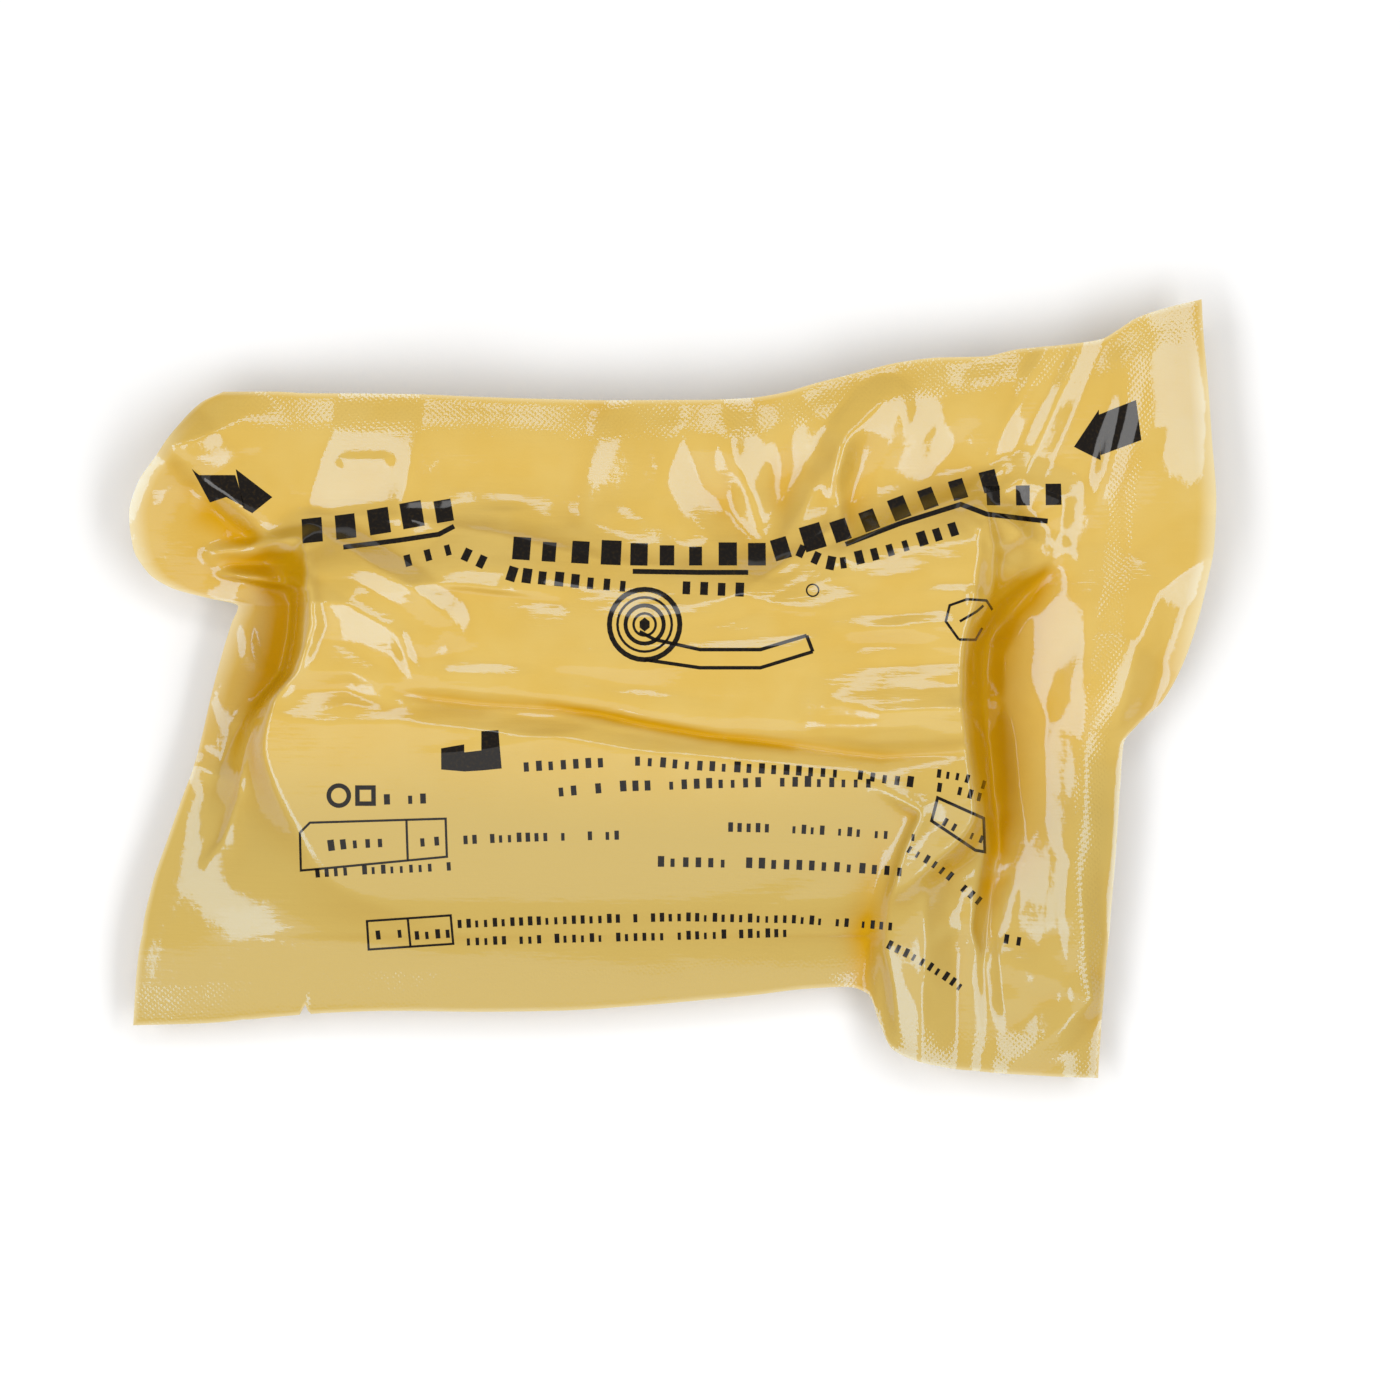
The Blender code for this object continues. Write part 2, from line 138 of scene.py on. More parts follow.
# main folds: rise in mm, reach in mm to the left and to the right of the line, sharpness (0 flat sides,
# 1 a crease, 2 round), then the line itself as x and y in the photograph and the share of the rise there
FOLDS = (
    # the band of long folds across the face
    (1.7, 3, 7, 1.2, ((262, 713, 0.5), (330, 724, 0.8), (400, 722, 1), (480, 730, 1), (560, 738, 1), (650, 752, 1),
                      (700, 756, 0.9), (780, 765, 0.6), (860, 776, 0.5), (920, 812, 0.4))),
    (-3.0, 2.4, 1.8, 1.1, ((385, 688, 0.3), (430, 698, 0.9), (480, 704, 1), (560, 708, 1), (600, 714, 1),
                           (640, 724, 1), (704, 735, 1), (760, 741, 1), (880, 757, 0.9), (965, 752, 0.3))),
    (1.6, 4, 2.5, 0, ((318, 672, 0.6), (355, 672, 1), (390, 690, 1), (450, 688, 0.8), (520, 696, 0.8),
                      (580, 705, 1), (650, 718, 1), (720, 730, 0.5))),
    (-0.7, 4, 3, 1.6, ((430, 664, 0.5), (520, 672, 1), (600, 682, 1), (690, 695, 0.6), (760, 705, 0.3))),
    (-1.2, 3, 4, 1.2, ((300, 690, 0.6), (350, 688, 1), (385, 700, 0.5))),
    (0.9, 3, 3, 0, ((322, 710, 0.4), (350, 704, 1), (400, 710, 0.3))),
    (0.6, 2, 3, 1.1, ((800, 735, 0.4), (870, 742, 1), (965, 738, 0.7))),
    (0.7, 2.5, 2.5, 1.2, ((830, 626, 0.5), (900, 630, 1), (960, 640, 0.6))),
    (-0.5, 2, 2, 1.2, ((840, 640, 0.5), (900, 645, 1), (965, 655, 0.5))),
    (3.6, 6, 5, 0, ((836, 704, 0.5), (880, 712, 1), (960, 708, 1))),
    # the head shoulder
    (2.6, 3, 5.5, 0, ((315, 530, 0.6), (345, 545, 1), (380, 570, 1), (415, 590, 1), (446, 614, 0.5))),
    (2.3, 3, 5, 0, ((318, 603, 0.8), (350, 604, 1), (392, 628, 1), (425, 650, 0.5))),
    (1.5, 2, 1.6, 1.0, ((410, 586, 0.4), (440, 584, 0.8), (500, 591, 1), (545, 600, 0.3))),
    (-1.8, 1.6, 2.5, 1.1, ((430, 592, 0.3), (470, 592, 0.8), (520, 597, 1), (560, 604, 0.5))),
    (1.0, 1.2, 1.5, 0, ((402, 640, 0.6), (408, 655, 1), (418, 672, 0.4))),
    # crest at the left end of the roll, the second crest inside it and the pocket outside it
    (1.8, 2.4, 0.7, 1.0, ((305, 540, 0.5), (301, 586, 1), (297, 632, 1), (288, 674, 1), (257, 712, 1),
                          (246, 748, 1), (238, 796, 0.9), (222, 840, 0.7), (205, 862, 0.3))),
    (1.5, 1.6, 1.6, 0, ((305, 548, 0.8), (311, 590, 1), (317, 625, 1), (306, 655, 0.8), (288, 676, 0.5))),
    (-1.2, 1.2, 1.2, 0, ((305, 570, 0.7), (307, 600, 1), (306, 640, 0.4))),
    (-2.5, 1.0, 5, 0, ((290, 594, 0.9), (288, 632, 1), (279, 672, 1), (252, 706, 0.5))),
    (1.3, 2, 2.5, 0, ((252, 716, 0.5), (243, 745, 1), (236, 775, 1), (226, 805, 0.4))),
    # the gather at the middle of the head and the fold that runs from it to the corner
    (-1.6, 4, 4, 0, ((772, 556, 1), (735, 520, 1), (700, 480, 0.8), (680, 420, 0.2))),
    (1.5, 2.5, 4, 0, ((772, 556, 0.8), (755, 515, 1), (735, 460, 0.8), (720, 400, 0.3))),
    (-1.2, 3, 3, 0, ((775, 552, 0.8), (785, 500, 1), (790, 440, 0.3))),
    (1.8, 3, 3, 0, ((776, 552, 0.6), (812, 495, 1), (835, 455, 0.4))),
    (1.8, 2.5, 3.5, 1.0, ((770, 572, 0.4), (800, 552, 0.8), (822, 535, 1), (838, 525, 0.6))),
    (2.4, 2, 2, 1.0, ((846, 552, 0.5), (838, 510, 1), (836, 480, 1), (842, 445, 0.6))),
    (2.8, 3.5, 5, 0, ((836, 470, 0.7), (850, 435, 1), (882, 402, 0.6))),
    (-1.8, 3, 3, 0, ((850, 540, 0.6), (852, 500, 1), (862, 450, 0.5))),
    (2.0, 1.8, 5, 1.1, ((845, 548, 0.5), (880, 530, 0.9), (920, 512, 1), (958, 497, 1), (985, 478, 0.9),
                        (1003, 466, 0.5))),
    (1.1, 5, 3, 0, ((690, 606, 0.4), (735, 596, 1), (790, 562, 1), (830, 552, 0.5))),
    (0.8, 4, 1.2, 1.0, ((740, 594, 0.5), (765, 604, 1), (800, 611, 1), (842, 613, 0.5))),
    (0.9, 1.6, 3, 1.0, ((300, 515, 0.6), (400, 517, 1), (440, 525, 1), (500, 535, 1), (560, 549, 1),
                        (620, 563, 0.9), (700, 572, 0.7), (760, 573, 0.4))),
    # the upper right corner of the roll
    (2.8, 3, 4, 0, ((985, 507, 0.6), (1020, 532, 1), (1057, 556, 0.2))),
    (-1.0, 2.5, 3, 0, ((990, 530, 0.5), (1015, 545, 1), (1050, 557, 0.6))),
    (2.2, 3, 3, 0, ((985, 600, 0.5), (1020, 572, 1), (1057, 556, 0.2))),
    (1.2, 10, 9, 0, ((1064, 585, 0.9), (1060, 556, 1), (1056, 525, 0.9))),
    (2.4, 4, 4, 0, ((985, 505, 0.4), (1020, 480, 1), (1062, 498, 1), (1062, 548, 0.2))),
    (2.2, 8, 2.8, 0, ((990, 458, 0.6), (1003, 430, 1), (1045, 350, 0.9))),
    (2.2, 6, 2.8, 0, ((1022, 482, 0.6), (1055, 405, 1), (1082, 345, 0.9))),
    (3.4, 12, 12, 0, ((1214, 500, 1), (1214, 590, 1))),
    (1.2, 2, 2.5, 0, ((1092, 512, 0.4), (1108, 470, 1), (1122, 410, 0.8), (1128, 360, 0.4))),
    (1.4, 0.7, 2.4, 1.0, ((985, 510, 0.8), (994, 552, 1), (991, 594, 1), (977, 630, 1), (968, 662, 1), (967, 702, 1),
                          (979, 744, 1), (982, 792, 1), (991, 848, 0.6))),
    (1.0, 1.5, 2, 1.0, ((962, 515, 0.5), (978, 530, 1), (995, 520, 0.5))),
    (-2.4, 3.5, 1.0, 0, ((1045, 575, 0.5), (1005, 606, 0.9), (980, 650, 1), (980, 702, 1), (990, 744, 1), (994, 792, 1),
                       (1002, 850, 0.5))),
    (2.6, 7, 10, 0, ((1084, 668, 0.9), (1088, 640, 1), (1088, 606, 0.9))),
    (1.8, 12, 5, 0, ((1086, 700, 0.9), (1084, 740, 1), (1084, 812, 0.8))),
    # the tongue at the lower right, its pocket and trough, and the star beside it
    (3.4, 6, 0.9, 1.0, ((880, 790, 0.3), (920, 812, 1), (903, 850, 0.9), (888, 900, 0.6), (885, 950, 0.5),
                        (893, 990, 0.5), (898, 1030, 0.3))),
    (2.4, 1.0, 4, 1.0, ((985, 780, 0.6), (985, 850, 1), (976, 900, 1), (972, 930, 1), (980, 952, 0.5))),
    (-2.6, 2.5, 2.5, 1.5, ((1000, 820, 0.5), (992, 900, 1), (988, 948, 0.5))),
    (-1.8, 2, 5, 1.4, ((880, 850, 0.2), (866, 920, 1), (866, 960, 1), (862, 1000, 0.6))),
    (3.4, 5, 5, 0, ((925, 900, 0.7), (924, 960, 1), (920, 1060, 0.7))),
    (-0.9, 3, 3, 0, ((945, 900, 0.5), (955, 960, 1), (960, 1040, 0.5))),
    (1.2, 3, 3, 0, ((905, 880, 0.5), (940, 850, 1), (975, 835, 0.5))),
    (0.8, 3, 3, 0, ((1092, 998, 1), (1040, 975, 1), (985, 950, 0.6))),
    (1.4, 3, 3, 0, ((1092, 998, 1), (1084, 930, 1), (1080, 870, 0.4))),
    (1.8, 3, 4, 0, ((1092, 1000, 1), (1055, 1036, 1), (1010, 1068, 0.6))),
    (1.7, 7, 2, 0, ((1000, 935, 0.3), (1000, 960, 1), (1004, 1000, 1), (1008, 1025, 0.2))),
    (-0.6, 3, 8, 1.2, ((1092, 998, 0.5), (1030, 1000, 1), (960, 970, 0.4))),
    (1.7, 10, 6, 0, ((1072, 860, 0.9), (1064, 915, 0.9))),
    (1.6, 4, 6, 0, ((1205, 556, 1), (1160, 590, 1), (1136, 650, 1), (1120, 725, 1))),
    # the left lobe and the left flange
    (3.2, 5, 5, 0, ((133, 525, 0.5), (150, 485, 0.9), (175, 447, 1), (205, 436, 0.8), (240, 420, 0.4))),
    (2.2, 6, 2.2, 0, ((175, 447, 1), (192, 470, 1), (232, 500, 1), (264, 533, 0.8), (292, 545, 0.4))),
    (-1.8, 3, 3, 0, ((212, 512, 0.6), (238, 532, 1), (262, 542, 0.7))),
    (2.6, 1.5, 2, 0, ((212, 553, 0.7), (250, 547, 1), (288, 539, 1), (310, 536, 0.5))),
    (-1.6, 1.6, 1.6, 0, ((228, 563, 0.6), (262, 565, 1), (294, 562, 0.6))),
    (2.4, 2.5, 0.5, 0, ((225, 574, 0.7), (240, 577, 1), (267, 582, 1), (300, 588, 0.8))),
    (0.8, 1.8, 2.5, 0, ((238, 584, 0.6), (228, 610, 0.8), (222, 645, 0.4))),
    (0.5, 1.5, 1.5, 0, ((236, 605, 0.6), (243, 630, 1), (252, 662, 0.4))),
    (1.2, 2, 2.5, 0, ((190, 762, 0.6), (215, 776, 1), (243, 788, 0.5))),
    (-0.7, 3, 3, 0, ((200, 690, 0.5), (215, 720, 1), (235, 740, 0.4))),
    # bubble and broad swells of the head flange
    (0.6, 1.4, 1.4, 2.0, ((345, 461, 0.8), (385, 462, 1))),
    (4.4, 22, 12, 0, ((428, 385, 0.9), (422, 440, 1), (408, 480, 1), (398, 515, 0.8))),
    (0.9, 4, 4, 0, ((412, 460, 0.5), (415, 520, 0.8))),
    (2.8, 9, 11, 0, ((690, 385, 0.7), (680, 430, 1), (655, 500, 0.9))),
    (-0.6, 9, 9, 2.0, ((500, 400, 0.5), (520, 500, 1))),
    (1.4, 7, 7, 0, ((900, 375, 0.4), (905, 430, 1), (880, 470, 0.5))),
    (-1.0, 7, 7, 2.0, ((950, 370, 0.5), (960, 450, 1))),
    (0.7, 1.5, 2, 1.1, ((480, 510, 0.4), (505, 512, 1), (525, 511, 0.4))),
)

# places of painted amber shade in the folds: strength, reach in mm to the left and to the right of the line, then the
# line as above
PAINTED_SHADE_POOLS = (
    (1.0, 9, 1.5, ((1000, 598, 0.7), (984, 630, 1), (976, 665, 1), (975, 702, 1), (986, 744, 1), (990, 792, 1),
                   (1000, 850, 0.5))),
    (0.8, 1.5, 7, ((296, 592, 0.9), (292, 632, 1), (282, 674, 1), (256, 708, 0.4))),
    (0.8, 1.2, 1.2, ((550, 706, 0.4), (620, 718, 1), (704, 735, 1), (790, 748, 0.5))),
    (0.3, 1.2, 1.5, ((330, 698, 0.5), (400, 712, 1), (480, 716, 0.5))),
    (0.5, 3, 3, ((205, 515, 0.6), (228, 528, 1), (250, 538, 0.6))),
    (0.6, 2, 3, ((228, 566, 0.6), (262, 568, 1), (294, 566, 0.8))),
    (0.45, 7, 6, ((192, 478, 0.3), (196, 520, 1), (184, 560, 0.6))),
    (0.6, 3, 4, ((880, 850, 0.3), (868, 920, 1), (868, 1000, 0.6))),
    (0.5, 2, 3, ((1000, 590, 0.8), (1030, 590, 0.8), (1052, 575, 0.4))),
)

# zones of small creases in mm: x from, x to, y from, y to, number, length, angle, spread of angle, rise, reach
CREASES = (
    # long shallow pleats of the face, then its left and right thirds
    (-50, 62, -12, 24, 54, 34, 2, 6, 0.3, 1.8),
    (-78, -30, -12, 24, 8, 16, -10, 20, 0.25, 1.6),
    (20, 62, -14, 30, 10, 34, 8, 20, 0.35, 5.0),
    (30, 62, -14, 30, 12, 16, 5, 30, 0.2, 2.0),
    # across the right edge of the roll and along the valley beside it
    (54, 66, -50, 34, 22, 12, 10, 40, 0.5, 1.8),
    (66, 86, -50, 30, 7, 24, 70, 40, 0.5, 4.0),
    # upper right corner
    (40, 96, 36, 66, 8, 30, 55, 30, 0.35, 5.0),
    (56, 76, 26, 44, 8, 12, 10, 50, 0.5, 2.5),
    # right flange, left flange with the lobe, left wall
    (84, 104, -66, 0, 6, 30, 85, 15, 0.5, 5.0),
    (-110, -82, 20, 56, 8, 26, 40, 50, 1.2, 6.0),
    (-104, -78, -20, 30, 4, 24, 75, 35, 0.25, 5.0),
    (-104, -78, -66, -20, 4, 24, 60, 30, 0.4, 5.0),
    (-96, -72, -30, 34, 6, 12, 70, 50, 0.15, 1.6),
    # headline slope and head flange
    (-60, 20, 26, 38, 12, 16, 15, 40, 0.4, 2.5),
    (-70, 60, 38, 60, 12, 40, 70, 50, 0.9, 8.0),
    # tongue, lower face and foot
    (42, 66, -70, -20, 6, 20, -50, 40, 0.6, 3.5),
    (66, 84, -76, -40, 4, 20, 10, 60, 0.6, 4.0),
    (-70, 40, -66, -30, 14, 34, 5, 25, 0.35, 5.0),
)

# middle line of the vertical seal in the photograph, and its half width in mm
SIDE_SEAL = ((1130, 315), (1140, 400), (1125, 480), (1115, 600), (1100, 700), (1090, 800), (1085, 900), (1090, 960),
             (1095, 1000))
SIDE_SEAL_HALF = 2.8
# painted glow: its width in mm at the rims of the left and right ends, then that of the band along the cut edge
PAINTED_GLOW_WIDTH = 3.5
CUT_WIDTH = 0.9
HEAD_SEAL = 8.0
FOOT_SEAL = 8.0

# tear notch in the foot edge: its place in the photograph, half its width and its depth in mm
NOTCH_AT = (303, 1012)
NOTCH_HALF = 1.0
NOTCH_DEPTH = 2.2

# dark print as points of the photograph, filled convex patches first
INK_PATCHES = (
    # tear arrow at the left: tail, middle, head
    ((192, 469), (199, 475), (226, 497), (209, 502)),
    ((199, 475), (235, 475), (245, 507), (226, 497)),
    ((235.5, 469), (272, 497), (252, 513), (243, 508)),
    # tear arrow at the right: head, shaft
    ((1099, 409.5), (1101, 460), (1074.5, 446.5)),
    ((1099, 414.5), (1136, 400), (1141.5, 440), (1101, 455)),
    # stepped block
    ((443, 748), (466, 744), (466, 771), (443, 769)),
    ((466, 752), (483, 750), (483, 770), (466, 771)),
    ((483, 731), (500, 730), (503, 768), (483, 770)),
    # hub of the wound roll
    ((640, 622), (645, 618), (650, 622), (650, 628), (645, 632), (640, 628)),
)
# strokes: width in mm, then the line in the photograph
INK_STROKES = (
    # lines under the headline
    (1.0, ((345, 548), (400, 541), (440, 535), (455, 527))),
    (1.0, ((633, 572), (700, 573), (748, 573))),
    (1.0, ((845, 545), (900, 524), (960, 505), (985, 515), (1048, 521))),
    # boxes at the lower left, each with its divider
    (0.45, ((302, 832), (312, 822), (447, 818), (448, 856), (302, 870), (302, 832))),
    (0.45, ((408, 819), (409, 860))),
    (0.45, ((367, 921), (451, 915), (453, 944), (368, 950), (367, 921))),
    (0.45, ((408, 918), (410, 947))),
    # tilted box and round outline at the right end
    (0.6, ((936, 797), (983, 818), (985, 852), (975, 850), (930, 820), (936, 797))),
    (0.5, ((957, 640), (944, 622), (948, 606), (965, 600), (985, 601), (992, 610))),
    (0.5, ((957, 640), (975, 640), (982, 628))),
    (0.5, ((958, 622), (975, 612), (982, 606))),
    # small frame beside the ring
    (0.9, ((359.5, 787), (375.5, 787), (375.5, 803), (359.5, 803), (359.5, 787))),
    # unrolled end of the bandage: two edges and its turned tip
    (0.7, ((645, 660), (700, 668), (760, 668), (812, 652))),
    (0.7, ((640, 632), (655, 640), (700, 650), (760, 650), (806, 636))),
    (0.7, ((812, 652), (806, 636))),
)
# rings: middle in the photograph, radius and width of the stroke in mm
INK_RINGS = (
    ((645, 625), 7.0, 1.0),
    ((645, 625), 5.4, 0.5),
    ((645, 625), 3.8, 0.8),
    ((645, 625), 2.2, 0.5),
    ((341, 795), 2.0, 0.9),
    ((812, 591), 1.2, 0.3),
)
# rows of plain blocks in mm: pitch, width and height of a block, share of the places that hold one
TITLE = (5.6, 4.3, 5.2, 1.0)
SECOND = (3.0, 1.9, 3.0, 0.9)
CAPS = (2.4, 1.3, 2.2, 0.86)
SMALL = (1.75, 0.95, 1.9, 0.84)
INK_ROWS = (
    (TITLE, ((304, 544), (360, 538), (438, 524))),
    (TITLE, ((513, 560), (560, 563), (620, 566), (748, 566))),
    (TITLE, ((776, 562), (830, 546), (880, 528), (940, 505), (984, 494))),
    (TITLE, ((986, 506), (1046, 505))),
    (SECOND, ((408, 568), (448, 557))),
    (SECOND, ((462, 560), (510, 582), (570, 588), (620, 592))),
    (SECOND, ((665, 594), (735, 597))),
    (SECOND, ((795, 556), (830, 572), (880, 560), (950, 538))),
    (CAPS, ((513, 772), (580, 768), (640, 765), (700, 770), (780, 774), (850, 778), (905, 786))),
    (CAPS, ((560, 796), (620, 791), (700, 788), (780, 786), (865, 787))),
    (CAPS, ((386, 804), (422, 803))),
    (CAPS, ((318, 852), (350, 848), (392, 846))),
    (CAPS, ((422, 846), (436, 845))),
    (CAPS, ((658, 866), (740, 867), (820, 870), (896, 875))),
    (SMALL, ((456, 844), (500, 842), (560, 840), (615, 839))),
    (SMALL, ((317, 877), (360, 874), (410, 872), (448, 870))),
    (SMALL, ((728, 831), (780, 832), (840, 835), (910, 840))),
    (SMALL, ((376, 940), (398, 938))),
    (SMALL, ((415, 940), (446, 938))),
    (SMALL, ((458, 928), (560, 924), (680, 921), (790, 923), (888, 930))),
    (SMALL, ((458, 946), (560, 943), (680, 940), (792, 937))),
    (SMALL, ((935, 777), (958, 780), (980, 788))),
    (SMALL, ((935, 791), (955, 794), (975, 800))),
    (SMALL, ((940, 824), (958, 834), (978, 842))),
    (SMALL, ((905, 851), (930, 866), (955, 886), (975, 903))),
    (SMALL, ((886, 948), (915, 962), (940, 978), (957, 990))),
    (SMALL, ((992, 942), (1017, 946))),
)


def linear(code):
    """Linear colour of an sRGB hex code."""
    parts = [int(code[i:i + 2], 16) / 255 for i in (1, 3, 5)]
    return (*[p / 12.92 if p <= 0.04045 else ((p + 0.055) / 1.055) ** 2.4 for p in parts], 1.0)


def on_pouch(line):
    """Photograph points as mm from the middle of the pouch; a third number stays as it is."""
    return [((p[0] - PHOTO_MIDDLE[0]) * PHOTO_PIXEL, (PHOTO_MIDDLE[1] - p[1]) * PHOTO_PIXEL, *p[2:]) for p in line]


def look(table, station):
    """Value of a two-column table at a station, on a smooth curve that never overshoots."""
    x, y = np.array(table, float).T
    slope = np.diff(y) / np.diff(x)
    both = slope[1:] * slope[:-1]
    inner = np.divide(2 * both, slope[1:] + slope[:-1], out=np.zeros(len(both)), where=both > 0)
    lean = np.concatenate(([slope[0]], inner, [slope[-1]]))
    station = np.clip(station, x[0], x[-1])
    i = np.clip(np.searchsorted(x, station, side='right') - 1, 0, len(x) - 2)
    step = x[i + 1] - x[i]
    t = (station - x[i]) / step
    return (y[i] * (1 - t) ** 2 * (1 + 2 * t) + y[i + 1] * t * t * (3 - 2 * t)
            + step * t * (1 - t) * (lean[i] * (1 - t) - lean[i + 1] * t))


def ramp(station, start, end):
    """Smooth 0 to 1 between two stations."""
    t = np.clip((station - start) / (end - start), 0, 1)
    return t * t * (3 - 2 * t)


def sag(place, foot, crest, crisp):
    """0 at the foot of a wall to 1 at its crest, hanging free from a sharp crest where it is crisp."""
    hanging = np.clip((place - foot) / (crest - foot), 0, 1) ** WALL_SAG
    return hanging * crisp + ramp(place, foot, crest) * (1 - crisp)


def stations(spans):
    """Stations of all cells of a table of spans."""
    parts = [np.linspace(first, last, cells + 1)[:-1] for first, last, cells in spans]
    return np.concatenate(parts + [[spans[-1][1]]])


def along(station, *ends):
    """Length along four ends, straight between them."""
    return np.where(station < 1, ends[0] + (ends[1] - ends[0]) * station,
                    np.where(station < 2, ends[1] + (ends[2] - ends[1]) * (station - 1),
                             ends[2] + (ends[3] - ends[2]) * (station - 2)))


def plan(a, b):
    """Place of a film station on the table."""
    x = along(a, -LEFT_FLANGE * look(LEFT_REACH, b), ROLL_LENGTH * look(LEFT_SHIFT, b),
              ROLL_LENGTH * (1 - look(RIGHT_SHIFT, b)), ROLL_LENGTH + RIGHT_FLANGE * look(RIGHT_REACH, b))
    y = along(b, -FOOT_FLANGE * look(FOOT_REACH, a), 0 * a, ROLL_WIDTH * (1 - look(HEAD_SHIFT, a)),
              ROLL_WIDTH + HEAD_FLANGE * look(HEAD_REACH, a))
    return x + CORNER[0], y + CORNER[1]


def notched(x, y, b):
    """Plan of the film with the tear notch drawn into its foot edge."""
    (middle, _), = on_pouch([NOTCH_AT])
    near = np.clip(1 - np.abs(x / MM - middle) / NOTCH_HALF, 0, 1)
    return x, y + NOTCH_DEPTH * MM * near * np.clip(1 - b / 0.3, 0, 1)


def beside(x, y, line):
    """Distance from a line in mm, its side from 1 at the left to -1 at the right, and how far along it as 0 to 1."""
    points = np.array(line, float)[:, :2]
    steps = np.linalg.norm(np.diff(points, axis=0), axis=1)
    before = np.concatenate(([0], np.cumsum(steps)))
    near = np.full(np.shape(x), 1e6)
    side = np.zeros(np.shape(x))
    share = np.zeros(np.shape(x))
    for i, (p, q) in enumerate(zip(points, points[1:])):
        d = q - p
        t = np.clip(((x - p[0]) * d[0] + (y - p[1]) * d[1]) / (d @ d), 0, 1)
        gap = np.hypot(x - p[0] - t * d[0], y - p[1] - t * d[1])
        closer = gap < near
        near = np.where(closer, gap, near)
        across = d[0] * (y - p[1]) - d[1] * (x - p[0])
        past_end = ((i == 0) & (t == 0)) | ((i == len(points) - 2) & (t == 1))
        turn = np.where(past_end, across / (steps[i] * np.maximum(gap, 1e-6)), np.sign(across))
        side = np.where(closer, turn, side)
        share = np.where(closer, (before[i] + t * steps[i]) / before[-1], share)
    return near, side, share


def fold(x, y, rise, left, right, sharp, line):
    """Height in mm that one fold adds."""
    gap, side, share = beside(x, y, line)
    points = np.array(line, float)
    steps = np.concatenate(([0], np.cumsum(np.linalg.norm(np.diff(points[:, :2], axis=0), axis=1))))
    strength = np.interp(share, steps / steps[-1], points[:, 2])
    away = gap / (right + (left - right) * (1 + side) / 2)
    return rise * strength * (np.exp(-away ** sharp) if sharp else np.clip(1 - away / 1.5, 0, 1))


def creases(x, y):
    """Height in mm of the small creases, drawn at random in their zones."""
    height = np.zeros(np.shape(x))
    for zone, (x0, x1, y0, y1, number, length, angle, spread, rise, reach) in enumerate(CREASES):
        rng = np.random.default_rng(SEED + zone)
        for _ in range(number):
            cx, cy = rng.uniform(x0, x1), rng.uniform(y0, y1)
            half = length * rng.uniform(0.35, 0.8)
            turn = math.radians(angle + spread * rng.normal() * 0.6)
            bend = rng.uniform(-0.12, 0.12) * half
            dx, dy = math.cos(turn) * half, math.sin(turn) * half
            line = ((cx - dx, cy - dy, 0.05), (cx - dy * bend / half, cy + dx * bend / half, 1),
                    (cx + dx, cy + dy, 0.05))
            up = rise * rng.uniform(0.4, 1.3) * (1 if rng.random() < 0.6 else -1)
            left, right = reach * rng.uniform(0.5, 1.8, 2)
            margin = 1.5 * max(left, right) + abs(bend)
            box = (np.abs(x - cx) < abs(dx) + margin) & (np.abs(y - cy) < abs(dy) + margin)
            height[box] += fold(x[box], y[box], up, left, right, 0, line)
    return height


def wall(a, b):
    """0 on the flanges, 1 over the roll."""
    x, y = plan(a, b)
    crisp = ramp(b, 0.9, 1.3)
    return (sag(x, plan(look(LEFT_FOOT, b), b)[0], plan(look(LEFT_TOP, b), b)[0], crisp)
            * sag(x, plan(look(RIGHT_FOOT, b), b)[0], plan(RIGHT_TOP - 0.2 * (1 - crisp), b)[0], crisp)
            * ramp(y, plan(a, FOOT_WALL[0] + 0 * a)[1], plan(a, FOOT_WALL[1] + 0 * a)[1])
            * ramp(y, plan(a, look(HEAD_FOOT, a))[1], plan(a, HEAD_TOP + 0 * a)[1]))


def front_height(a, b):
    """Height of the upper web's outer face."""
    x, y = plan(a, b)
    flange = blurred(SEAL_HEIGHT * look(ACROSS, a) * look(ALONG, b), 80)
    crown = blurred(ROLL_THICKNESS * look(CROWN, b), 80)
    height = flange + (crown - flange) * blurred(wall(a, b), 4)
    x, y = x / MM, y / MM
    folds = sum(fold(x, y, *row[:4], on_pouch(row[4])) for row in FOLDS) + creases(x, y)
    return np.maximum(height + blurred(folds, 2) * MM, 1.5 * MM)


def blurred(values, times):
    """Values of a grid, evened out with their neighbours."""
    for _ in range(times):
        padded = np.pad(values, 1, mode='edge')
        values = (padded[1:-1, 1:-1] * 2 + padded[2:, 1:-1] + padded[:-2, 1:-1]
                  + padded[1:-1, 2:] + padded[1:-1, :-2]) / 6
    return values


def lowest_near(values, times):
    """Least value of a grid among the neighbours."""
    for _ in range(times):
        padded = np.pad(values, 1, mode='edge')
        values = np.minimum.reduce([values, padded[2:, 1:-1], padded[:-2, 1:-1], padded[1:-1, 2:],
                                    padded[1:-1, :-2]])
    return values


def sheet_mesh(name, x, y, z, floats=None):
    """Mesh of a grid of places, with its plan in mm as UV and any numbers for each point."""
    rows, columns = x.shape
    points = np.stack((x, y, z), axis=-1).reshape(-1, 3)
    corner = (np.arange(rows - 1)[:, None] * columns + np.arange(columns - 1)).ravel()
    faces = np.stack((corner, corner + 1, corner + columns + 1, corner + columns), axis=-1)
    mesh = bpy.data.meshes.new(name)
    mesh.from_pydata(points.tolist(), [], faces.tolist())
    mesh.polygons.foreach_set("use_smooth", np.ones(len(faces), bool))
    plan_mm = points[:, :2] / MM
    layer = mesh.uv_layers.new(name="plan")
    layer.data.foreach_set("uv", plan_mm[faces.ravel()].ravel())
    for label, values in (floats or {}).items():
        mesh.attributes.new(label, 'FLOAT', 'POINT').data.foreach_set("value", values.ravel())
    mesh.update()
    return mesh


